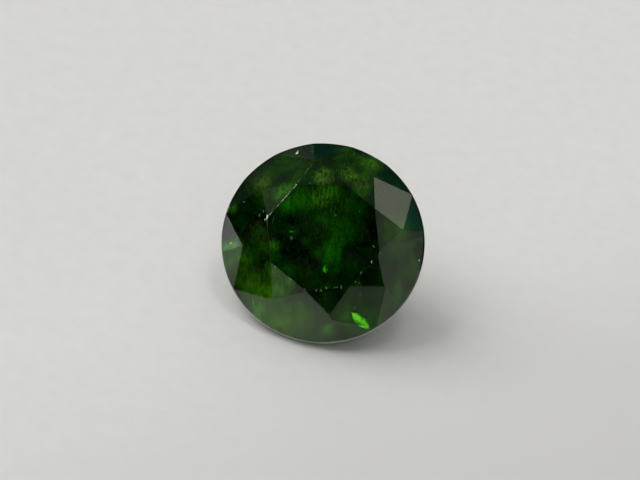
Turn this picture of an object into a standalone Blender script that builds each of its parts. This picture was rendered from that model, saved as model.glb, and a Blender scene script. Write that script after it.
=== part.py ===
# Demantoid garnet, cut as a round brilliant and lying on its pavilion.
#
# The stone is cut the way a lapidary cuts it: a turned preform is ground flat by one plane after another. The
# crown has a table, 8 stars, 8 bezels and 16 upper girdle facets. The pavilion has 8 mains, 16 lower girdle
# facets and a tiny culet. It is cut with its axis upright and the middle of its girdle at the origin, and is
# then laid on one of its mains, with the table leaning towards -Y.
#
# Lengths are in millimetres until the stone is finished, and angles are in degrees.

import math

import bmesh
import bpy
from mathutils import Matrix, Vector

# Driving dimensions
GIRDLE_DIAMETER = 6.0
TABLE_WIDTH = 3.44  # corner to corner
CROWN_ANGLE = 34.3
STAR_TIP_DIAMETER = 4.73  # circle through the outer points of the stars
GIRDLE_THICKNESS = 0.32  # at its thickest, where two facets meet on it
PAVILION_ANGLE = 41.0
LOWER_TIP_DIAMETER = 2.7  # circle through the inner points of the lower girdle facets
CULET_WIDTH = 0.12

FOLD = 8  # the cut repeats eight times round the axis
GIRDLE_SIDES = 128  # flats that stand for the round girdle
PREFORM_MARGIN = 0.2  # the preform is this much taller than the stone at each end

# The main that the stone lies on, by its azimuth
REST_AZIMUTH = 225.0

# Facets that the cutter set a little off, as the photograph shows: turn and steepen in degrees, and how much
# deeper than the regular facet they are ground, in millimetres.
OFF_STAR = {1: (-6.5, -1.9, 0.027), 2: (-2.0, 0.0, 0.0), 6: (-3.2, -0.4, -0.005)}
OFF_BEZEL = {6: (-1.1, -0.1, 0.007)}
OFF_POINT = {6: 2.6}  # how far the point of a bezel slid along the girdle, in degrees
REGULAR = (0.0, 0.0, 0.0)

MM = 0.001
WELD = 1e-5  # points nearer than this, in millimetres, are one

radius = GIRDLE_DIAMETER / 2
pitch = 360.0 / FOLD
girdle_half = GIRDLE_THICKNESS / 2


def cosine(angle):
    return math.cos(math.radians(angle))


def tangent(angle):
    return math.tan(math.radians(angle))


def ring_point(azimuth, distance, height):
    """A point at distance from the axis."""
    return Vector((cosine(azimuth) * distance, cosine(azimuth - 90.0) * distance, height))


def sloping_plane(azimuth, slope, distance, height, side=1, off=REGULAR):
    """A plane sloping down and outwards at azimuth, through the point at distance and height. On the pavilion,
    side is -1 and the plane is that one upside down."""
    turn, steepen, deeper = off
    azimuth += turn
    slope += steepen
    outward = ring_point(azimuth, cosine(slope - 90.0), side * cosine(slope))
    return ring_point(azimuth, distance, side * height) - outward * deeper, outward


def main_height(distance, slope):
    """Height above the girdle's middle of a bezel or main, at a distance out along its own azimuth."""
    return girdle_half + (radius - distance) * tangent(slope)


def girdle_planes(tip_radius, tip_height, side, slides):
    """The 16 small facets along the girdle, above it or below it. Each goes through the point of a bezel or
    main on the girdle, the point on the girdle midway to the next one, and the tip right above that."""
    planes = []
    for index in range(FOLD):
        near = ring_point(index * pitch + slides.get(index, 0.0), radius, side * girdle_half)
        for turn in (-pitch / 2, pitch / 2):
            far = ring_point(index * pitch + turn, radius, side * girdle_half)
            tip = ring_point(index * pitch + turn, tip_radius, side * tip_height)
            outward = (far - near).cross(tip - near).normalized()
            if outward.z * side < 0:
                outward.negate()
            planes.append((far, outward))
    return planes


def crown_planes():
    """The table, then the upper girdle facets, bezels and stars."""
    table_radius = TABLE_WIDTH / 2
    table_height = main_height(table_radius, CROWN_ANGLE)
    table_flat = table_radius * cosine(pitch / 2)  # from the axis to the middle of a table edge
    tip_radius = STAR_TIP_DIAMETER / 2
    tip_height = main_height(tip_radius * cosine(pitch / 2), CROWN_ANGLE)
    star_slope = math.degrees(math.atan2(table_height - tip_height, tip_radius - table_flat))
    planes = [(Vector((0, 0, table_height)), Vector((0, 0, 1)))]
    planes += girdle_planes(tip_radius, tip_height, 1, OFF_POINT)
    for index in range(FOLD):
        off = OFF_BEZEL.get(index, REGULAR)
        planes.append(sloping_plane(index * pitch, CROWN_ANGLE, radius, girdle_half, off=off))
    for index in range(FOLD):
        off = OFF_STAR.get(index, REGULAR)
        azimuth = (index + 0.5) * pitch
        planes.append(sloping_plane(azimuth, star_slope, table_flat, table_height, off=off))
    return planes


def pavilion_planes():
    """The lower girdle facets, the mains and the culet."""
    tip_radius = LOWER_TIP_DIAMETER / 2
    tip_height = main_height(tip_radius * cosine(pitch / 2), PAVILION_ANGLE)
    planes = girdle_planes(tip_radius, tip_height, -1, {})
    for index in range(FOLD):
        planes.append(sloping_plane(index * pitch, PAVILION_ANGLE, radius, girdle_half, side=-1))
    culet_height = main_height(CULET_WIDTH / 2, PAVILION_ANGLE)
    planes.append((Vector((0, 0, -culet_height)), Vector((0, 0, -1))))
    return planes


def grind(shape, point, outward):
    """Takes off everything beyond one plane and closes the flat that is left."""
    geometry = shape.verts[:] + shape.edges[:] + shape.faces[:]
    cut = bmesh.ops.bisect_plane(
        shape, geom=geometry, dist=WELD, plane_co=point, plane_no=outward, clear_outer=True
    )
    edges = [item for item in cut["geom_cut"] if isinstance(item, bmesh.types.BMEdge)]
    bmesh.ops.contextual_create(shape, geom=[edge for edge in edges if edge.is_boundary])


def cut_stone():
    """The finished stone with its axis upright, in millimetres."""
    top = main_height(TABLE_WIDTH / 2, CROWN_ANGLE) + PREFORM_MARGIN
    bottom = -main_height(CULET_WIDTH / 2, PAVILION_ANGLE) - PREFORM_MARGIN
    shape = bmesh.new()
    bmesh.ops.create_cone(
        shape,
        cap_ends=True,
        segments=GIRDLE_SIDES,
        radius1=radius,
        radius2=radius,
        depth=top - bottom,
        matrix=Matrix.Translation((0, 0, (top + bottom) / 2)),
    )
    for point, outward in crown_planes() + pavilion_planes():
        grind(shape, point, outward)
    bmesh.ops.remove_doubles(shape, verts=shape.verts, dist=WELD)
    bmesh.ops.recalc_face_normals(shape, faces=shape.faces)
    return shape


def lay_down(shape):
    """Turns the stone so that its rest facet faces down and the table leans towards -Y, and puts the origin
    under the middle of its box."""
    turned = Matrix.Rotation(math.radians(-90.0 - REST_AZIMUTH), 4, "Z")
    leaned = Matrix.Rotation(math.radians(PAVILION_ANGLE), 4, "X")
    bmesh.ops.transform(shape, matrix=leaned @ turned, verts=shape.verts)
    low = Vector([min(vertex.co[axis] for vertex in shape.verts) for axis in range(3)])
    high = Vector([max(vertex.co[axis] for vertex in shape.verts) for axis in range(3)])
    middle = (low + high) / 2
    bmesh.ops.translate(shape, vec=(-middle.x, -middle.y, -low.z), verts=shape.verts)


def gem_material():
    material = bpy.data.materials.new("demantoid garnet")
    material.use_nodes = True
    shader = material.node_tree.nodes["Principled BSDF"]
    shader.inputs["Base Color"].default_value = (0.012, 0.10, 0.012, 1.0)
    shader.inputs["Roughness"].default_value = 0.02
    shader.inputs["Metallic"].default_value = 0.0
    shader.inputs["IOR"].default_value = 1.885
    return material


def main():
    for old in list(bpy.data.objects):
        bpy.data.objects.remove(old)
    shape = cut_stone()
    lay_down(shape)
    bmesh.ops.scale(shape, vec=(MM, MM, MM), verts=shape.verts)
    mesh = bpy.data.meshes.new("stone")
    shape.to_mesh(mesh)
    shape.free()
    mesh.materials.append(gem_material())
    bpy.context.scene.collection.objects.link(bpy.data.objects.new("stone", mesh))


main()
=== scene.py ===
# Demantoid garnet, a loose round brilliant lying on its pavilion on a pale floor
import math

import bmesh
import bpy
import numpy as np
from mathutils import Matrix, Vector


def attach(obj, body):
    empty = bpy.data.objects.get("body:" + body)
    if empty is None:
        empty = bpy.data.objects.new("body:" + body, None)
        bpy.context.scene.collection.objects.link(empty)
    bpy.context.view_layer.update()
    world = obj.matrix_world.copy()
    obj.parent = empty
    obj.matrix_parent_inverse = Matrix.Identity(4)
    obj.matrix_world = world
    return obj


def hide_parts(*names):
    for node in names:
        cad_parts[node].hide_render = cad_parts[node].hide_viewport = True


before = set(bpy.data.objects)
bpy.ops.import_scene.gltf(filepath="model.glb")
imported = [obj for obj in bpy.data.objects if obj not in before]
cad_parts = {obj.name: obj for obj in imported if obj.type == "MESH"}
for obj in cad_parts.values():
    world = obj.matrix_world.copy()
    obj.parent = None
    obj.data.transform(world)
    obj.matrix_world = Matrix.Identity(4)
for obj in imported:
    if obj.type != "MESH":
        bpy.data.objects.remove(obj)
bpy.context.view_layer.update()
mm = 0.001
weld = 1e-5  # points nearer than this, in mm, are one
tableAxis = Vector((0.0, -0.656059, 0.75471))  # straight out of the middle of the table
streakAxis = Vector((-0.28, 0.57, 0.77))  # the way the fibres lie, roughly up the table


def linear(hexColour):
    # sRGB hex to the linear values that shaders take
    out = []
    for place in (0, 2, 4):
        c = int(hexColour[place:place + 2], 16) / 255
        out.append(c / 12.92 if c <= 0.04045 else ((c + 0.055) / 1.055) ** 2.4)
    return (*out, 1.0)


def addNode(tree, kind, settings=None, inputs=None):
    node = tree.nodes.new(kind)
    for name, value in (settings or {}).items():
        setattr(node, name, value)
    for name, value in (inputs or {}).items():
        if isinstance(value, bpy.types.NodeSocket):
            tree.links.new(value, node.inputs[name])
        else:
            node.inputs[name].default_value = value
    return node


def newMaterial(name, inputs):
    # a Principled material with these values on its own sockets, and the coordinates for its noise
    material = bpy.data.materials.new(name)
    material.use_nodes = True
    tree = material.node_tree
    shader = tree.nodes["Principled BSDF"]
    for key, value in inputs.items():
        shader.inputs[key].default_value = value
    return material, tree, shader, addNode(tree, "ShaderNodeTexCoord").outputs["Object"]


def addMath(tree, operation, *values, clamp=False):
    settings = {"operation": operation, "use_clamp": clamp}
    return addNode(tree, "ShaderNodeMath", settings, dict(enumerate(values))).outputs[0]


def addNoise(tree, coords, grain, **inputs):
    # noise with lumps of about this size in mm
    inputs = {"Vector": coords, "Scale": 1 / (grain * mm), **inputs}
    return addNode(tree, "ShaderNodeTexNoise", inputs=inputs).outputs[0]


def mixColours(tree, share, one, other):
    # one where share is 0, other where it is 1
    inputs = {0: share, 6: one, 7: other}
    return addNode(tree, "ShaderNodeMix", {"data_type": "RGBA"}, inputs).outputs[2]


def mapRange(tree, value, start, end, first, last, interpolation="LINEAR"):
    # turns start to end into first to last, and stays there beyond
    inputs = {"Value": value, "From Min": start, "From Max": end, "To Min": first, "To Max": last}
    return addNode(tree, "ShaderNodeMapRange", {"interpolation_type": interpolation}, inputs).outputs[0]


def awayFrom(tree, coords, centre):
    # the distance in metres from a centre in mm
    return addNode(tree, "ShaderNodeVectorMath", {"operation": "DISTANCE"}, {
        0: coords, 1: Vector(centre) * mm}).outputs["Value"]


def fadeAway(tree, coords, centre, reach, near, far):
    # a soft ball, with its centre and reach in mm: near at the centre, and far from the reach on
    return mapRange(tree, awayFrom(tree, coords, centre), 0.0, reach * mm, near, far, "SMOOTHSTEP")


def alongFibres(tree, coords, stretch):
    # coordinates drawn out along the fibres, so that noise makes streaks
    turned = streakAxis.to_track_quat("X", "Z").to_euler()
    return addNode(tree, "ShaderNodeMapping", {"vector_type": "TEXTURE"}, {
        "Vector": coords, "Rotation": turned, "Scale": (stretch, 1, 1)}).outputs[0]


def addBump(tree, shader, height, distance):
    bump = addNode(tree, "ShaderNodeBump", inputs={"Height": height, "Distance": distance})
    tree.links.new(bump.outputs[0], shader.inputs["Normal"])


def addPiece(name, points, faces, material):
    # points in mm
    mesh = bpy.data.meshes.new(name)
    mesh.from_pydata((np.asarray(points) * mm).tolist(), [], np.asarray(faces).tolist())
    mesh.materials.append(material)
    piece = bpy.data.objects.new(name, mesh)
    bpy.context.scene.collection.objects.link(piece)
    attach(piece, "root")
    return piece


def direction(azimuth, elevation):
    a, e = math.radians(azimuth), math.radians(elevation)
    return Vector((math.cos(a) * math.cos(e), math.sin(a) * math.cos(e), math.sin(e)))


# The photograph's view: where the middle of the girdle is, and how the camera looks at it
view = {
    "girdleCentre": (0.0, 0.0, 2.0889),  # mm
    "distance": 90.0,  # mm
    "elevation": 37.57,
    "azimuth": 4.48,  # from straight in front (-Y) towards +X
    "roll": 13.64,  # how far upright leans to the right in the picture
    "offCentre": (3.12, -2.87),  # pixels right and up of the middle of the picture
    "pictureWidth": 640,
    "lens": 171.3,
    "sensor": 36.0,
}


def buildCamera():
    e, a = math.radians(view["elevation"]), math.radians(view["azimuth"])
    back = Vector((math.sin(a) * math.cos(e), -math.cos(a) * math.cos(e), math.sin(e)))
    level = Vector((0, 0, 1)).cross(back).normalized()
    upright = back.cross(level)
    r = math.radians(view["roll"])
    right = level * math.cos(r) + upright * math.sin(r)
    up = upright * math.cos(r) - level * math.sin(r)
    perPixel = view["distance"] * view["sensor"] / view["lens"] / view["pictureWidth"]
    aim = Vector(view["girdleCentre"])
    aim -= (right * view["offCentre"][0] + up * view["offCentre"][1]) * perPixel
    data = bpy.data.cameras.new("camera")
    data.lens = view["lens"]
    data.sensor_width = view["sensor"]
    data.clip_start = 0.001
    data.clip_end = 5.0
    camera = bpy.data.objects.new("camera", data)
    turn = Matrix((right, up, back)).transposed().to_4x4()
    camera.matrix_world = Matrix.Translation((aim + back * view["distance"]) * mm) @ turn
    bpy.context.scene.collection.objects.link(camera)
    bpy.context.scene.camera = camera


# Soft windows by the direction they shine from. Each facet of the crown mirrors one of them.
# azimuth, elevation, half width, soft edge (all in degrees), strength, colour
windows = {
    "room": (-90, 37, 13, 8, 0.32, "f6fff0"),
    "roomLeft": (-117, 41, 12, 8, 0.26, "f6fff0"),
    "roomRight": (-60, 50, 12, 8, 0.26, "f6fff0"),
    "roomFarLeft": (-143, 56, 10, 8, 0.45, "f6fff0"),
    "roomLow": (-112, 15, 7, 4, 0.35, "f8fff4"),
    "overhead": (20, 85, 5, 4, 5.0, "fffefc"),  # the small bright one that flashes in the cracks
    "overTop": (95, 77, 14, 6, 0.07, "f4fff4"),
    "rightPane": (39, 46, 5.5, 2, 1.26, "fffeee"),
    "rightWall": (0, 15, 12, 6, 0.45, "fbfff0"),
    "rightHigh": (-9, 54, 5, 3, 0.26, "fffff4"),
    "rightFloor": (-49, 3, 6, 3, 0.24, "fcffff"),
    "leftHigh": (-177, 49, 4, 3, 0.20, "f8fff8"),
    "leftLow": (-178, 3, 5, 2, 1.26, "f8fff8"),
    "leftBack": (163, 13, 8, 4, 0.05, "f8fff8"),
    "upperLeft": (142, 33, 12, 4, 0.10, "f0fff0"),
    "topLeft": (124, 28, 5, 3, 0.16, "f8fff8"),
    "top": (88, 41, 12, 4, 0.05, "f0fff0"),
    "tealWall": (62, 31, 8, 6, 0.17, "50c8a0"),
    "tealRight": (36, 28, 4, 2, 0.40, "60d0a8"),
    "tealTop": (105, 33, 4, 3, 0.16, "50d0b0"),
}
surroundings = {"ambient": (0.005, 0.008, 0.006), "backdrop": "cfd0cc"}


def buildWorld():
    world = bpy.data.worlds.new("studio")
    bpy.context.scene.world = world
    world.use_nodes = True
    tree = world.node_tree
    tree.nodes.clear()
    coords = addNode(tree, "ShaderNodeTexCoord")
    ambient = dict(enumerate(surroundings["ambient"]))
    total = addNode(tree, "ShaderNodeCombineXYZ", inputs=ambient).outputs[0]
    for azimuth, elevation, half, soft, strength, colour in windows.values():
        dot = addNode(tree, "ShaderNodeVectorMath", {"operation": "DOT_PRODUCT"}, {
            0: coords.outputs["Generated"], 1: direction(azimuth, elevation)})
        dark, bright = math.cos(math.radians(half + soft)), math.cos(math.radians(half))
        fade = mapRange(tree, dot.outputs["Value"], dark, bright, 0.0, strength, "SMOOTHSTEP")
        part = addNode(tree, "ShaderNodeVectorMath", {"operation": "SCALE"}, {
            0: linear(colour)[:3], "Scale": fade})
        total = addNode(tree, "ShaderNodeVectorMath", {"operation": "ADD"}, {
            0: total, 1: part.outputs[0]}).outputs[0]
    around = addNode(tree, "ShaderNodeBackground", inputs={"Color": total})
    backdrop = addNode(tree, "ShaderNodeBackground", inputs={"Color": linear(surroundings["backdrop"])})
    path = addNode(tree, "ShaderNodeLightPath")
    both = addNode(tree, "ShaderNodeMixShader", inputs={
        0: path.outputs["Is Camera Ray"], 1: around.outputs[0], 2: backdrop.outputs[0]})
    addNode(tree, "ShaderNodeOutputWorld", inputs={"Surface": both.outputs[0]})


# Lamps that light the floor and nothing that the stone mirrors
# azimuth, elevation, width of the light (all in degrees), strength
lamps = {
    "daylight": (178, 42, 50.0, 1.85),
    "backLight": (102, 42, 90.0, 1.10),
    "roomLight": (-90, 40, 100.0, 0.46),
}


def buildLamps():
    for name, (azimuth, elevation, wide, strength) in lamps.items():
        data = bpy.data.lights.new(name, "SUN")
        data.energy = strength
        data.angle = math.radians(wide)
        lamp = bpy.data.objects.new(name, data)
        lamp.rotation_mode = "QUATERNION"
        lamp.rotation_quaternion = direction(azimuth, elevation).to_track_quat("Z", "Y")
        lamp.visible_glossy = False
        lamp.visible_transmission = False
        bpy.context.scene.collection.objects.link(lamp)


floorCard = {
    "inner": (0.05, 5, 15, 27, 40), "outer": (40, 60, 80, 110, 140),  # ring radii in mm
    "sides": 96,
    "drop": 0.01,  # mm below the stone, so that the two surfaces are never one
    # far is the colour of the painted shade towards the front right
    "colour": "e4e2e1", "shade": "dbd9d7", "far": "cfcdcb",
    "grain": 0.5,  # mm
    # painted shade: the card turns darker this way, to the far colour, between these distances from the
    # origin in mm
    "shadedWay": (0.75, -0.66, 0.0), "shadeFrom": -2, "shadeTo": 12,
}


def buildFloor():
    # Rings of points round the origin. The outer part isn't mirrored in the stone, so its far edge never
    # shows there as a bright line.
    sides = floorCard["sides"]
    i = np.arange(sides)
    j = (i + 1) % sides
    angle = i * 2 * math.pi / sides
    # matt card, faintly cloudy, with painted shade that darkens it towards the front right
    material, tree, shader, coords = newMaterial("pale matt card", {"Roughness": 0.9})
    cloudy = addNoise(tree, coords, floorCard["grain"], Detail=3.0)
    near = mixColours(tree, cloudy, linear(floorCard["colour"]), linear(floorCard["shade"]))
    across = addNode(tree, "ShaderNodeVectorMath", {"operation": "DOT_PRODUCT"}, {
        0: coords, 1: floorCard["shadedWay"]}).outputs["Value"]
    start, end = floorCard["shadeFrom"] * mm, floorCard["shadeTo"] * mm
    # the share of painted shade, growing towards the front right
    paintedShade = mapRange(tree, across, start, end, 0.0, 1.0, "SMOOTHSTEP")
    tree.links.new(mixColours(tree, paintedShade, near, linear(floorCard["far"])), shader.inputs["Base Color"])
    for name, mirrored in (("inner", True), ("outer", False)):
        rings = np.array(floorCard[name], float)[:, None]
        flat = np.full((len(rings), sides), -floorCard["drop"])
        points = np.stack([rings * np.cos(angle), rings * np.sin(angle), flat], -1).reshape(-1, 3) * mm
        faces = [i.tolist()] if mirrored else []
        for k in range(len(rings) - 1):
            a = k * sides
            faces += np.stack([a + i, a + sides + i, a + sides + j, a + j], -1).tolist()
        mesh = bpy.data.meshes.new(name + "Floor")
        mesh.from_pydata(points.tolist(), [], faces)
        mesh.materials.append(material)
        floor = bpy.data.objects.new(name + "Floor", mesh)
        bpy.context.scene.collection.objects.link(floor)
        floor.visible_glossy = mirrored
        floor.visible_transmission = mirrored


gem = {
    "ior": 1.885,
    "absorbed": (0.90, 0.41, 1.2),  # red, green and blue light, per mm
    "density": 1.05,  # of the volume, over the strongest of these
    "tintedFrom": 0.006,  # the share of scattered light from which a cloudy place has its full colour
    # soft unevenness of the light inside, as the fibres bend it
    "waveLength": 0.42, "waveHeight": 0.010,  # mm
    "streakLength": 0.11, "streakHeight": 0.0035,  # mm
    "streakStretch": 3.0,  # times as long as they are wide
    # painted shade on the reflections: the share of its full mirror that the outside gives, and the smaller
    # share in a patch on the lower right
    "polish": 0.62, "shadedMirror": 0.40, "shadePlace": (1.75, -1.95, 0.80), "shadeReach": 1.3,  # mm
    "innerBlur": 0.08,  # roughness of the facets as seen from inside
    # the ground wall of the girdle: its grain is drawn coarser than the real 0.01 mm, to show
    "wallColour": "e8f4e0", "wallClear": 0.5, "wallRoughness": (0.28, 0.48),
    "wallGrain": 0.05, "wallBump": 0.003,  # mm
    # facets: the least area in mm2 that counts as one, how far its triangles' planes may differ, and how much
    # of the normal goes along the stone's axis, at least for the table and at most for the wall
    "leastArea": 1e-3, "samePlane": 3e-3, "tableLean": 0.9999, "wallLean": 0.05,
    # edges: the least turn in degrees, the flats' widths in mm, and how the one above the girdle is set
    "leastTurn": 0.5, "tableEdgeWidth": 0.005, "facetEdgeWidth": 0.003, "rimWidth": 0.026,
    "rimLean": 0.22, "rimDrop": 0.019,  # part of the turn, then mm
}
gemSlots = ("table", "wall", "pavilion", "worn", "crown")  # its materials in order
cloudNoise = {"Detail": 4.0, "Roughness": 0.6, "Distortion": 0.6}
# Cloudy places just under the polish, partly real haze and partly painted green light: each place adds a
# green patch where the stone is to look bright. Silk is fine streaks, and glow is even haze. The noise
# between low and high thins or thickens them, from floor to peak. Each place has its centre in mm, its radius
# in mm and the share of the light that it scatters.
silk = {
    "grain": 0.075, "stretch": 2.6, "low": 0.36, "high": 0.68, "floor": 0.08, "peak": 1.8,
    "table": {
        "colour": "90f828",
        "places": [
            ((-0.40, 0.13, 3.58), 0.42, 0.078), ((0.02, 0.30, 3.72), 0.36, 0.035),
            ((-0.85, 0.02, 3.46), 0.60, 0.015), ((-0.10, -0.35, 3.15), 1.10, 0.010),
            ((-0.28, 0.40, 3.81), 0.36, 0.022), ((0.45, 0.05, 3.50), 0.30, 0.016),
            ((-0.20, -1.55, 2.11), 0.60, 0.010), ((-1.30, -1.19, 2.42), 0.30, 0.040),
        ],
    },
    "facets": {
        "colour": "a8f838",
        "places": [
            ((-0.50, 0.70, 3.90), 0.44, 0.120), ((0.22, 0.98, 4.04), 0.42, 0.100),
            ((0.62, 0.80, 3.96), 0.42, 0.045), ((0.65, 1.70, 4.10), 0.50, 0.030),
            ((-2.15, 0.50, 3.29), 0.50, 0.035), ((-1.81, -0.98, 2.46), 0.60, 0.016),
            ((-1.62, -1.70, 1.36), 0.75, 0.016), ((-1.10, 1.00, 3.80), 0.50, 0.020),
            ((-2.15, 0.25, 3.20), 0.40, 0.035), ((-0.23, -2.28, 0.55), 0.85, 0.060),
        ],
    },
}
glow = {
    "grain": 0.26, "stretch": 1.8, "low": 0.30, "high": 0.72, "floor": 0.45, "peak": 1.8,
    "table": {
        "colour": "48f820",
        "places": [
            ((-0.95, 0.02, 3.46), 0.62, 0.042), ((0.33, -0.99, 2.60), 0.50, 0.062),
            ((0.15, -0.35, 3.14), 0.45, 0.018), ((0.40, 0.30, 3.71), 0.50, 0.022),
            ((-1.30, -1.19, 2.42), 0.26, 0.050), ((0.25, -1.65, 2.02), 0.60, 0.010),
            ((0.62, -0.40, 3.11), 0.60, 0.027), ((-1.30, -0.25, 3.24), 0.46, 0.095),
            ((-0.20, 0.36, 3.77), 0.42, 0.040), ((0.47, -1.26, 2.36), 0.45, 0.036),
            ((-0.22, -0.29, 3.21), 0.32, 0.022), ((-1.23, -1.41, 2.23), 0.35, 0.025),
            ((-0.90, -0.80, 2.76), 0.28, 0.020), ((-0.70, -1.72, 1.96), 0.50, 0.024),
            ((-0.42, -0.90, 2.68), 0.24, 0.022), ((0.62, -1.79, 1.90), 0.34, 0.017),
            ((0.75, 0.11, 3.56), 0.35, 0.020), ((0.44, -0.70, 2.85), 0.35, 0.030),
            ((1.09, -1.12, 2.48), 0.45, 0.014), ((0.00, -1.08, 2.52), 0.32, 0.022),
            ((1.55, -1.18, 2.43), 0.26, 0.024),
        ],
    },
    "facets": {
        "colour": "80f818",
        "places": [
            ((-1.00, -2.15, 0.70), 1.30, 0.120), ((0.45, -2.20, 0.70), 1.10, 0.062),
            ((-2.45, -1.15, 1.50), 0.85, 0.085), ((-0.71, -1.89, 1.68), 0.55, 0.090),
            ((1.95, -1.60, 1.20), 1.20, 0.055), ((2.40, -0.60, 2.40), 1.20, 0.022),
            ((2.05, 0.10, 3.05), 0.90, 0.068), ((1.63, 0.82, 3.64), 1.00, 0.030),
            ((-1.49, 0.08, 3.44), 0.50, 0.085), ((0.55, 1.70, 4.10), 0.65, 0.038),
            ((0.02, 1.30, 4.08), 0.50, 0.018), ((-1.60, -1.85, 1.24), 0.80, 0.015),
            ((-1.53, -1.31, 2.23), 0.40, 0.030), ((-1.75, 1.20, 3.72), 0.80, 0.026),
            ((-2.83, -0.04, 2.40), 0.26, 0.042), ((-2.25, 0.60, 3.25), 0.70, 0.025),
            ((2.55, -0.95, 1.75), 0.70, 0.062), ((2.78, -0.20, 2.30), 0.60, 0.036),
            ((-2.64, -0.92, 1.66), 0.24, 0.060), ((-2.46, -0.97, 1.83), 0.24, 0.060),
            ((1.55, -2.05, 0.75), 0.90, 0.030), ((-1.11, -1.70, 1.90), 0.42, 0.075),
            ((-1.80, -0.10, 3.20), 0.50, 0.034), ((-2.00, -1.60, 1.22), 0.45, 0.035),
            ((-0.54, -1.86, 1.78), 0.28, 0.085), ((-0.14, 1.82, 4.14), 0.50, 0.036),
            ((0.77, 1.12, 4.06), 0.45, 0.050), ((0.80, 1.80, 4.08), 0.40, 0.050),
            ((0.90, -2.18, 0.77), 0.30, 0.090), ((1.30, -1.60, 1.98), 0.50, 0.030),
            ((-0.55, 0.95, 4.00), 0.90, 0.008), ((0.70, 0.55, 3.86), 0.40, 0.035),
            ((-0.02, -2.12, 1.30), 0.55, 0.040), ((-0.45, -2.30, 0.35), 0.50, 0.040),
            ((1.24, -1.90, 1.32), 0.55, 0.045), ((0.70, -1.90, 1.70), 0.34, 0.018),
            ((-1.91, -1.36, 1.86), 0.35, 0.030), ((-1.25, 0.55, 3.74), 0.45, 0.024),
        ],
    },
}
worn = {
    # edges at the table's left end: width of the wear in mm, and the two ends of the edge
    "edges": [
        (0.020, (-1.72, -0.634, 2.907), (-1.185, 0.252, 3.677)),
        (0.010, (-1.185, 0.252, 3.677), (-0.89, 1.13, 4.05)),
        (0.012, (-1.72, -0.678, 2.869), (-1.216, -1.596, 2.071)),
    ],
    "reach": 0.05,  # mm from the edge
    "colour": "b8dc98", "roughness": 0.5, "grain": 0.11,  # mm
    "low": 0.44, "high": 0.56,  # the noise at the chips, and between them
    "leastClear": 0.20, "mostClear": 0.98,  # the share of the light let through at these two
    # it is strongest at this place, and further off it lets more through, by faded from fadeTo on
    "strongest": (-1.50, -0.28, 3.22), "fadeFrom": 0.4, "fadeTo": 1.5,  # mm
    "faded": 0.62,
}


def hazeAndPaintedLight(tree, coords, cloud, part):
    # adds up soft balls of haze and painted green light, then times a noise that is drawn out along the
    # fibres
    noise = addNoise(tree, alongFibres(tree, coords, cloud["stretch"]), cloud["grain"], **cloudNoise)
    uneven = mapRange(tree, noise, cloud["low"], cloud["high"], cloud["floor"], cloud["peak"], "SMOOTHSTEP")
    total = 0.0
    for centre, radius, share in cloud[part]["places"]:
        total = addMath(tree, "ADD", total, fadeAway(tree, coords, centre, radius, share, 0.0))
    return addMath(tree, "MULTIPLY", total, uneven)


def addAbsorption(tree):
    # the colour of the volume: what is left of white light after one unit of density
    density = max(gem["absorbed"]) * gem["density"]
    colour = [1 - part / density for part in gem["absorbed"]] + [1.0]
    absorb = addNode(tree, "ShaderNodeVolumeAbsorption", inputs={"Color": colour, "Density": density / mm})
    tree.links.new(absorb.outputs[0], tree.nodes["Material Output"].inputs["Volume"])


def crownMaterial(part):
    # Garnet, lapped and polished to a mirror: it shows the windows sharply, and cloudy places under the
    # polish, which are partly real haze and partly painted green light. Where none lies its colour is white,
    # so that the volume alone tints the light.
    material, tree, shader, coords = newMaterial("demantoid garnet, polished " + part, {
        "Roughness": 0.0, "IOR": gem["ior"], "Transmission Weight": 1.0})
    silkShare = hazeAndPaintedLight(tree, coords, silk, part)
    share = addMath(tree, "ADD", silkShare, hazeAndPaintedLight(tree, coords, glow, part))
    tree.links.new(addMath(tree, "SUBTRACT", 1.0, share), shader.inputs["Transmission Weight"])
    silky = addMath(tree, "DIVIDE", silkShare, share)
    colour = mixColours(tree, silky, linear(glow[part]["colour"]), linear(silk[part]["colour"]))
    tinted = mapRange(tree, share, 0.0, gem["tintedFrom"], 0.0, 1.0)
    tree.links.new(mixColours(tree, tinted, (1, 1, 1, 1), colour), shader.inputs["Base Color"])
    # painted shade: the outside gives only part of its mirror, least in the patch on the lower right, and the
    # inside gives all of it
    inside = addNode(tree, "ShaderNodeNewGeometry").outputs["Backfacing"]
    outer = fadeAway(tree, coords, gem["shadePlace"], gem["shadeReach"], gem["shadedMirror"], gem["polish"])
    mirror = mapRange(tree, inside, 0.0, 1.0, outer, 1.0)
    tree.links.new(mirror, shader.inputs["Specular Tint"])
    addAbsorption(tree)
    return material


def pavilionMaterial():
    # the same polish outside; inside, the light that the facets throw back is softly broken up by the fibres
    material, tree, shader, coords = newMaterial("demantoid garnet, pavilion", {
        "Base Color": (1, 1, 1, 1), "IOR": gem["ior"], "Transmission Weight": 1.0})
    wave = addNoise(tree, coords, gem["waveLength"], Detail=1.0)
    drawn = alongFibres(tree, coords, gem["streakStretch"])
    streak = addNoise(tree, drawn, gem["streakLength"], Detail=2.0)
    inside = addNode(tree, "ShaderNodeNewGeometry").outputs["Backfacing"]
    high = addMath(tree, "MULTIPLY", wave, gem["waveHeight"] * mm)
    high = addMath(tree, "MULTIPLY_ADD", streak, gem["streakHeight"] * mm, high)
    addBump(tree, shader, addMath(tree, "MULTIPLY", high, inside), 1.0)
    tree.links.new(addMath(tree, "MULTIPLY", inside, gem["innerBlur"]), shader.inputs["Roughness"])
    addAbsorption(tree)
    return material


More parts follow.
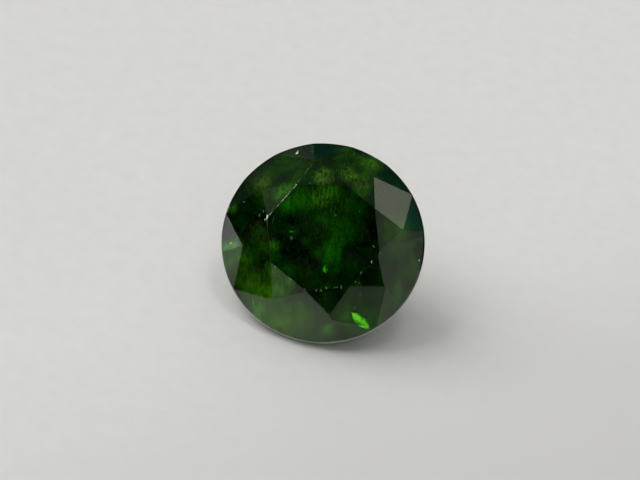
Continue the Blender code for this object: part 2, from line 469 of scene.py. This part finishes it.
def wallMaterial():
    # the girdle is left as it was ground round: fine frosted grain that shows grey-green
    material, tree, shader, coords = newMaterial("demantoid garnet, ground girdle", {
        "Base Color": linear(gem["wallColour"]), "IOR": gem["ior"], "Transmission Weight": gem["wallClear"]})
    grain = addNoise(tree, coords, gem["wallGrain"], Detail=3.0)
    rough = mapRange(tree, grain, 0.3, 0.7, *gem["wallRoughness"])  # nearly all the noise lies between these
    tree.links.new(rough, shader.inputs["Roughness"])
    addBump(tree, shader, grain, gem["wallBump"] * mm)
    addAbsorption(tree)
    return material


def wornMaterial():
    # an edge rubbed against other stones: tiny chips that scatter white
    material, tree, shader, coords = newMaterial("demantoid garnet, abraded edge", {
        "Base Color": linear(worn["colour"]), "IOR": gem["ior"], "Roughness": worn["roughness"]})
    grain = addNoise(tree, coords, worn["grain"], Detail=3.0, Roughness=0.6)
    clear = mapRange(tree, grain, worn["low"], worn["high"], worn["leastClear"], worn["mostClear"])
    away = awayFrom(tree, coords, worn["strongest"])
    faded = mapRange(tree, away, worn["fadeFrom"] * mm, worn["fadeTo"] * mm, 0.0, worn["faded"])
    clear = addMath(tree, "ADD", clear, faded, clamp=True)
    tree.links.new(clear, shader.inputs["Transmission Weight"])
    addAbsorption(tree)
    return material


def findFacets(shape):
    # The facets as planes, from the large triangles, and for each triangle the plane that it lies in. A thin
    # sliver has no normal to trust, so it goes by how near its corners lie to each plane.
    corners = np.array([[corner.co for corner in face.verts] for face in shape.faces])
    across = np.cross(corners[:, 1] - corners[:, 0], corners[:, 2] - corners[:, 0])
    area = np.linalg.norm(across, axis=1) / 2
    planes = np.empty((0, 4))
    for k in np.argsort(-area):
        if area[k] < gem["leastArea"]:
            break
        normal = across[k] / (2 * area[k])
        plane = np.array([*normal, normal @ corners[k, 0]])
        if len(planes) == 0 or np.abs(planes - plane).max(1).min() > gem["samePlane"]:
            planes = np.vstack([planes, plane])
    away = np.abs(corners @ planes[:, :3].T - planes[:, 3]).max(1)
    return planes[:, :3], planes[:, 3], away.argmin(1)


def facetKind(normal):
    lean = tableAxis.dot(normal)
    if lean > gem["tableLean"]:
        return "table"
    if abs(lean) < gem["wallLean"]:
        return "wall"
    return "crown" if lean > 0 else "pavilion"


def wear(middle):
    # the width of the wear where a point lies on a worn edge, or else 0
    for width, start, end in worn["edges"]:
        start, end = Vector(start), Vector(end)
        along = end - start
        t = min(1.0, max(0.0, (middle - start).dot(along) / along.length_squared))
        if (start + along * t - middle).length < worn["reach"]:
            return width
    return 0.0


def softenEdges(shape, normals, facetOf):
    # Takes each sharp edge off with a narrow flat, halfway between its two facets. A flat of width w goes
    # w * tan(half the turn between the facets) / 2 below the edge. The flat above the girdle leans nearer to
    # its facet, and comes down the wall a little way.
    cuts = []
    for edge in shape.edges:
        one, other = (Vector(normals[facetOf[face.index]]) for face in edge.link_faces)
        kinds = {facetKind(one), facetKind(other)}
        turn = one.angle(other)
        if turn < math.radians(gem["leastTurn"]) or kinds == {"wall"}:
            continue
        middle = (edge.verts[0].co + edge.verts[1].co) / 2
        if kinds == {"wall", "crown"}:
            if facetKind(one) == "wall":
                one, other = other, one
            outward = one.slerp(other, gem["rimLean"])
            cuts.append((middle - tableAxis * gem["rimDrop"], outward, "crown"))
            continue
        if "wall" in kinds:
            width, slot = gem["rimWidth"], "pavilion"
        elif wear(middle):
            width, slot = wear(middle), "worn"
        elif "table" in kinds:
            width, slot = gem["tableEdgeWidth"], "crown"
        else:
            width, slot = gem["facetEdgeWidth"], "crown" if "crown" in kinds else "pavilion"
        outward = (one + other).normalized()
        cuts.append((middle - outward * width * math.tan(turn / 2) / 2, outward, slot))
    for point, outward, slot in cuts:
        geometry = shape.verts[:] + shape.edges[:] + shape.faces[:]
        cut = bmesh.ops.bisect_plane(
            shape, geom=geometry, dist=weld / 10, plane_co=point, plane_no=outward, clear_outer=True)
        rim = [item for item in cut["geom_cut"] if isinstance(item, bmesh.types.BMEdge)]
        made = bmesh.ops.contextual_create(shape, geom=[edge for edge in rim if edge.is_boundary])
        for face in made["faces"]:
            face.material_index = gemSlots.index(slot)
    print("edges softened:", len(cuts))


def buildStone():
    shape = bmesh.new()
    shape.from_mesh(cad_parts["stone"].data)
    bmesh.ops.scale(shape, vec=(1 / mm, 1 / mm, 1 / mm), verts=shape.verts)
    bmesh.ops.remove_doubles(shape, verts=shape.verts, dist=weld)
    shape.faces.index_update()
    normals, offsets, facetOf = findFacets(shape)
    for face in shape.faces:
        face.material_index = gemSlots.index(facetKind(normals[facetOf[face.index]]))
    print("facets:", len(normals))
    softenEdges(shape, normals, facetOf)
    bmesh.ops.remove_doubles(shape, verts=shape.verts, dist=weld)
    bmesh.ops.recalc_face_normals(shape, faces=shape.faces)
    loose = sum(len(edge.link_faces) != 2 for edge in shape.edges)
    bmesh.ops.scale(shape, vec=(mm, mm, mm), verts=shape.verts)
    mesh = bpy.data.meshes.new("garnet")
    shape.to_mesh(mesh)
    shape.free()
    materials = {
        "table": crownMaterial("table"), "wall": wallMaterial(), "pavilion": pavilionMaterial(),
        "worn": wornMaterial(), "crown": crownMaterial("facets"),
    }
    for slot in gemSlots:
        mesh.materials.append(materials[slot])
    stone = bpy.data.objects.new("garnet", mesh)
    bpy.context.scene.collection.objects.link(stone)
    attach(stone, "root")
    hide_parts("stone")
    print("stone:", len(mesh.polygons), "faces, open edges:", loose)
    return normals, offsets


def spindleFaces(rings, sides, count):
    # triangles of count closed bodies, each of them a point, rings of points, and a last point
    i = np.arange(sides)
    j = (i + 1) % sides
    last = rings * sides + 1
    faces = [np.stack([0 * i, 1 + j, 1 + i], -1)]
    faces.append(np.stack([0 * i + last, last - sides + i, last - sides + j], -1))
    for k in range(rings - 1):
        a = 1 + k * sides
        faces.append(np.stack([a + i, a + j, a + sides + j], -1))
        faces.append(np.stack([a + i, a + sides + j, a + sides + i], -1))
    return np.vstack(faces)[None] + (np.arange(count) * (last + 1))[:, None, None]


fibres = {
    "sides": 3, "rings": 4,
    "seed": 7,
    "colour": "b8f048", "deepColour": "70b830", "mottle": 0.3,  # mm
    "clearance": 0.03,  # mm under the polish
    "bend": 0.25,
    # from the least to the most of the cloud's own length and thickness
    "lengths": (0.4, 1.6), "thicknesses": (0.5, 1.4),
    # centre in mm, spread in mm (x, y, z), how many, length and thickness in mm, how far they stray from the
    # common way
    "clouds": {
        "upper": ((-0.50, 0.62, 3.66), (0.26, 0.20, 0.16), 420, 0.15, 0.008, 0.3),
        "upperRight": ((0.26, 0.95, 3.80), (0.26, 0.20, 0.16), 380, 0.15, 0.008, 0.3),
        "right": ((0.75, 1.70, 3.80), (0.25, 0.20, 0.16), 160, 0.13, 0.008, 0.4),
        "tableLeft": ((-0.95, 0.15, 3.05), (0.30, 0.30, 0.20), 260, 0.16, 0.007, 0.2),
        "middle": ((0.10, 0.15, 2.35), (0.45, 0.55, 0.40), 520, 0.16, 0.008, 0.2),
        "lowerLeft": ((-1.50, -1.25, 1.35), (0.28, 0.28, 0.20), 300, 0.16, 0.008, 0.3),
        "left": ((-1.65, -0.45, 2.20), (0.20, 0.35, 0.25), 200, 0.16, 0.007, 0.2),
        "all": ((-0.35, 0.15, 2.10), (0.70, 0.70, 0.60), 420, 0.14, 0.007, 0.25),
        "underTable": ((-0.45, 0.14, 3.38), (0.36, 0.16, 0.16), 90, 0.24, 0.028, 0.25),
    },
}


def buildFibres(planes):
    # Each fibre is a bent spindle: centre + heading * length * t + bend * length * (t squared - 1/12), with t
    # from -1/2 to 1/2. Its thickness falls to nothing at both ends as the root of cos(pi t).
    random = np.random.default_rng(fibres["seed"])
    rings, sides = fibres["rings"], fibres["sides"]
    t = np.linspace(-0.5, 0.5, rings + 2)
    lines, thick = [], []
    for centre, spread, count, length, thickness, stray in fibres["clouds"].values():
        middle = np.array(centre) + random.normal(size=(count, 3)) * spread
        heading = np.array(streakAxis) + random.normal(size=(count, 3)) * stray
        heading /= np.linalg.norm(heading, axis=1, keepdims=True)
        bend = np.cross(heading, random.normal(size=(count, 3))) * fibres["bend"]
        size = length * random.uniform(*fibres["lengths"], count)[:, None, None]
        curve = heading[:, None, :] * t[:, None] + bend[:, None, :] * (t ** 2 - 1 / 12)[:, None]
        lines.append(middle[:, None, :] + size * curve)
        thick.append(thickness * random.uniform(*fibres["thicknesses"], count))
    lines, thick = np.vstack(lines), np.concatenate(thick)
    normals, offsets = planes
    room = (offsets - lines.reshape(-1, 3) @ normals.T).min(1).reshape(len(lines), -1).min(1)
    keep = room > fibres["clearance"]
    lines, thick = lines[keep], thick[keep]
    along = lines[:, -1] - lines[:, 0]
    along /= np.linalg.norm(along, axis=1, keepdims=True)
    anyWay = [0.37, 0.21, 0.9]  # only has to differ from the fibre's own way
    across = np.cross(along, anyWay)
    across /= np.linalg.norm(across, axis=1, keepdims=True)
    other = np.cross(along, across)
    turn = np.arange(sides) * 2 * math.pi / sides
    profile = np.sqrt(np.cos(math.pi * t[1:-1]))
    ring = np.cos(turn)[:, None] * across[:, None, None, :] + np.sin(turn)[:, None] * other[:, None, None, :]
    body = lines[:, 1:-1, None, :] + ring * (thick[:, None] * profile / 2)[:, :, None, None]
    points = np.concatenate([lines[:, :1], body.reshape(len(lines), -1, 3), lines[:, -1:]], axis=1)
    faces = spindleFaces(rings, sides, len(lines))
    # byssolite, the fibrous mineral that demantoid is known for: silky, paler than the stone
    material, tree, shader, coords = newMaterial("byssolite fibre", {
        "Roughness": 0.6, "Specular IOR Level": 0.1})
    mottle = addNoise(tree, coords, fibres["mottle"])
    colour = mixColours(tree, mottle, linear(fibres["colour"]), linear(fibres["deepColour"]))
    tree.links.new(colour, shader.inputs["Base Color"])
    addPiece("fibres", points.reshape(-1, 3), faces.reshape(-1, 3), material)
    print("fibres:", len(lines))


specks = {
    "seed": 3,
    "sides": 8, "rings": 5,
    "dents": (0.55, 1.3),  # from the least to the most of its own size
    "flat": 0.35, "tips": 0.17,  # its thickness and where its points are, over its width
    "touch": 0.02,  # mm, the facets nearer than this are the ones that it lies on
    # on the polish: x, y, z, width and length in mm, and degrees that it leans to the right
    "chips": [
        (-1.727, -0.630, 2.903, 0.062, 0.155, 0), (-1.765, -0.690, 2.842, 0.040, 0.040, 0),
        (-1.202, 0.264, 3.677, 0.028, 0.060, 0), (-1.505, 1.542, 3.851, 0.080, 0.150, 0),
        (-1.500, 1.600, 3.852, 0.036, 0.240, 0), (-1.066, -1.650, 2.017, 0.026, 0.040, 0),
        (-0.575, -1.802, 1.886, 0.020, 0.028, 0), (-0.504, -1.820, 1.873, 0.020, 0.034, 0),
        (0.545, -1.783, 1.908, 0.022, 0.040, 0), (1.580, -0.939, 2.641, 0.026, 0.070, 10),
        (2.876, 0.050, 2.429, 0.052, 0.066, 0), (-1.430, -2.000, 0.760, 0.008, 0.420, 0),
    ],
    "dust": [
        (-1.969, -0.509, 2.790, 0.060, 0.085, 15), (-1.892, -0.429, 2.930, 0.045, 0.090, 0),
        (-0.823, 0.400, 3.772, 0.090, 0.045, 0), (-2.554, 0.010, 2.713, 0.085, 0.065, 0),
        (-0.049, -1.948, 1.765, 0.045, 0.060, 0), (0.277, -1.894, 1.806, 0.055, 0.090, 10),
        (0.410, -1.862, 1.828, 0.065, 0.085, -30), (-0.912, -0.792, 2.769, 0.160, 0.062, 0),
        (-0.863, -0.929, 2.650, 0.090, 0.125, 15), (0.764, -1.721, 1.961, 0.050, 0.040, 0),
        (0.831, -1.699, 1.981, 0.045, 0.040, 0), (0.947, -1.670, 2.006, 0.050, 0.130, 0),
        (1.300, -1.458, 2.180, 0.045, 0.090, -20), (1.403, -1.432, 2.153, 0.045, 0.080, -15),
        (1.380, -1.243, 2.378, 0.050, 0.110, 25), (1.502, -0.586, 2.948, 0.055, 0.110, -35),
        (0.175, -0.164, 3.316, 0.040, 0.065, 0), (0.814, 0.075, 3.523, 0.034, 0.050, 0),
        (-1.654, -0.434, 3.057, 0.014, 0.420, 28), (-1.532, -0.633, 2.907, 0.014, 0.300, 12),
        (1.740, -0.680, 2.848, 0.060, 0.090, 0),
    ],
    # pale and deep colour, and how much of the usual mirror it has
    "looks": {"chips": ("e8f4e0", "90b888", 0.5), "dust": ("3e6838", "2c4a28", 0.1)},
    "roughness": 0.45, "mottle": 0.04,  # mm
}


def buildSpecks(planes):
    # Each speck is a ball of rings and two tips, dented at random and pressed flat along its facet: half of
    # level * width * cos(v) * cos(u) + up * length * cos(v) * sin(u) + out * flat * width * sin(v).
    random = np.random.default_rng(specks["seed"])
    rings, sides = specks["rings"], specks["sides"]
    places = np.array(specks["chips"] + specks["dust"])
    count = len(places)
    normals, offsets = planes
    touching = np.abs(offsets - places[:, :3] @ normals.T) < specks["touch"]
    out = touching @ normals
    out /= np.linalg.norm(out, axis=1, keepdims=True)
    up = np.array(streakAxis) - out * (out @ np.array(streakAxis))[:, None]
    up /= np.linalg.norm(up, axis=1, keepdims=True)
    level = np.cross(up, out)
    lean = np.radians(places[:, 5:])
    up, level = up * np.cos(lean) + level * np.sin(lean), level * np.cos(lean) - up * np.sin(lean)
    u = np.arange(sides) * 2 * math.pi / sides
    v = np.linspace(-math.pi / 2, math.pi / 2, rings + 2)[1:-1]
    dents = random.uniform(*specks["dents"], (count, rings, sides))
    size = places[:, 3, None, None] / 2 * dents
    tall = places[:, 4, None, None] / 2 * dents
    x = (size * np.cos(v)[:, None] * np.cos(u))[..., None] * level[:, None, None]
    y = (tall * np.cos(v)[:, None] * np.sin(u))[..., None] * up[:, None, None]
    z = (size * np.sin(v)[:, None] * specks["flat"])[..., None] * out[:, None, None]
    ball = (x + y + z + places[:, None, None, :3]).reshape(count, -1, 3)
    lift = out[:, None] * places[:, 3, None, None] * specks["tips"]
    tip = places[:, None, :3] + lift * np.array([-1.0, 1.0])[:, None]
    points = np.concatenate([tip[:, :1], ball, tip[:, 1:]], axis=1)
    faces = spindleFaces(rings, sides, count)
    # chips are rough breaks that scatter white, and dust is thin and lets most of the dark through
    materials = []
    for look, (pale, deep, gloss) in specks["looks"].items():
        material, tree, shader, coords = newMaterial("crushed garnet, " + look, {
            "Roughness": specks["roughness"], "IOR": gem["ior"], "Specular IOR Level": gloss})
        mottle = addNoise(tree, coords, specks["mottle"])
        tree.links.new(mixColours(tree, mottle, linear(pale), linear(deep)), shader.inputs["Base Color"])
        materials.append(material)
    piece = addPiece("specks", points.reshape(-1, 3), faces.reshape(-1, 3), materials[0])
    piece.data.materials.append(materials[1])
    slots = np.repeat([0] * len(specks["chips"]) + [1] * len(specks["dust"]), faces.shape[1])
    piece.data.polygons.foreach_set("material_index", slots.tolist())
    print("specks:", count)


flakes = {
    # Open cracks that flash: middle, half length and half width in mm, how pointed, the way the flake lies,
    # the way it faces, and its look
    "places": [
        ((1.711, -1.593, 0.969), 0.395, 0.145, 1.1, (0.87, -0.10, -0.47), (0.267, -0.712, 0.649), "flash"),
        ((0.325, -1.021, 1.912), 0.125, 0.085, 0.4, (-0.18, 0.60, 0.79), (0.039, -0.551, 0.834), "spot"),
        ((-2.546, -0.843, 1.768), 0.07, 0.06, 0.0, (0.87, 0.09, 0.49), (-0.360, -0.573, 0.737), "spark"),
        ((-2.469, -0.805, 1.674), 0.335, 0.11, 0.0, (0.87, 0.09, 0.49), (-0.360, -0.573, 0.737), "sheen"),
    ],
    # each look has the painted colour of most of the crack, the colour of the painted highlight at its bright
    # end, its roughness, and how high its bumps are in mm
    "looks": {
        "flash": ("98b40a", "fff4a0", 0.16, 0.003), "spot": ("8c7c68", "8c7c68", 0.18, 0.003),
        "spark": ("ffe8c0", "ffe8c0", 0.16, 0.002), "sheen": ("284a20", "284a20", 0.16, 0.002),
    },
    # the painted highlight is brightest at this place and gone beyond this reach
    "highlight": (1.39, -1.555, 1.14), "highlightReach": 0.40,  # mm
    "kite": 0.18,  # how much wider a flake is before its middle than beyond it
    "thick": 0.006, "bumps": 0.20,  # mm
    "rings": (0.35, 0.65, 0.9, 1.0),  # parts of the way out from its middle
    "sides": 16,
}


def buildFlakes():
    # Each flake is a lens: along * length * cos(u) * r + across * width * sin(u) * r, with the thickness
    # falling as 1 - r squared. A power of the sine draws its ends out to points, and 1 - kite * cos(u) makes
    # one half of it wider.
    sides = flakes["sides"]
    i = np.arange(sides)
    j = (i + 1) % sides
    u = i * 2 * math.pi / sides
    r = np.array(flakes["rings"])[:, None]
    rim = len(r) - 1
    half = flakes["thick"] / 2
    points, faces, slots = [], [], []
    names = list(flakes["looks"])
    for middle, length, width, pointed, lie, face, look in flakes["places"]:
        face = Vector(face).normalized()
        along = Vector(lie)
        along = (along - face * along.dot(face)).normalized()
        across = face.cross(along)
        wide = width * r * np.sin(u) * np.abs(np.sin(u)) ** pointed * (1 - flakes["kite"] * np.cos(u))
        flat = np.array(along) * (length * r * np.cos(u))[..., None] + np.array(across) * wide[..., None]
        lift = np.array(face) * (half * (1 - r ** 2) + 0 * u)[..., None]
        top = (np.array(middle) + flat + lift).reshape(-1, 3)
        low = (np.array(middle) + flat[:-1] - lift[:-1]).reshape(-1, 3)
        tips = np.array([Vector(middle) + face * half, Vector(middle) - face * half])
        a = sum(len(part) for part in points)
        b = a + len(top)
        upTip, lowTip = b + len(low), b + len(low) + 1
        points += [top, low, tips]
        own = [np.stack([upTip + 0 * i, a + i, a + j], -1), np.stack([lowTip + 0 * i, b + j, b + i], -1)]
        for k in range(rim):
            upper = a + k * sides
            own.append(np.stack([upper + i, upper + sides + i, upper + sides + j], -1))
            own.append(np.stack([upper + i, upper + sides + j, upper + j], -1))
            lower = b + k * sides
            beyond = lower + sides if k < rim - 1 else a + rim * sides
            own.append(np.stack([lower + i, beyond + j, beyond + i], -1))
            own.append(np.stack([lower + i, lower + j, beyond + j], -1))
        faces += own
        slots += [names.index(look)] * (sides * len(own))
    # An open crack throws back all the light that meets it. The light that reaches it has crossed the whole
    # stone, and the flake's colour is painted with that green, with a painted highlight at the bright end of
    # the flash.
    materials = []
    for look, (most, highlight, rough, high) in flakes["looks"].items():
        material, tree, shader, coords = newMaterial("open crack in garnet, " + look, {
            "Metallic": 1.0, "Roughness": rough})
        addBump(tree, shader, addNoise(tree, coords, flakes["bumps"], Detail=1.0), high * mm)
        # painted highlight: near its place the colour turns to the highlight colour
        near = fadeAway(tree, coords, flakes["highlight"], flakes["highlightReach"], 1.0, 0.0)
        tree.links.new(mixColours(tree, near, linear(most), linear(highlight)), shader.inputs["Base Color"])
        materials.append(material)
    piece = addPiece("flakes", np.vstack(points), np.vstack(faces), materials[0])
    for material in materials[1:]:
        piece.data.materials.append(material)
    piece.data.polygons.foreach_set("material_index", slots)
    print("flakes:", len(flakes["places"]))


buildWorld()
buildLamps()
buildCamera()
buildFloor()
print("studio ready")
planes = buildStone()
buildFibres(planes)
buildSpecks(planes)
buildFlakes()

scene = bpy.context.scene
scene.view_settings.view_transform = "Standard"
scene.cycles.max_bounces = 20
scene.cycles.transmission_bounces = 20
scene.cycles.glossy_bounces = 16
scene.cycles.diffuse_bounces = 3
scene.cycles.use_denoising = True
scene.cycles.denoiser = "OPENIMAGEDENOISE"
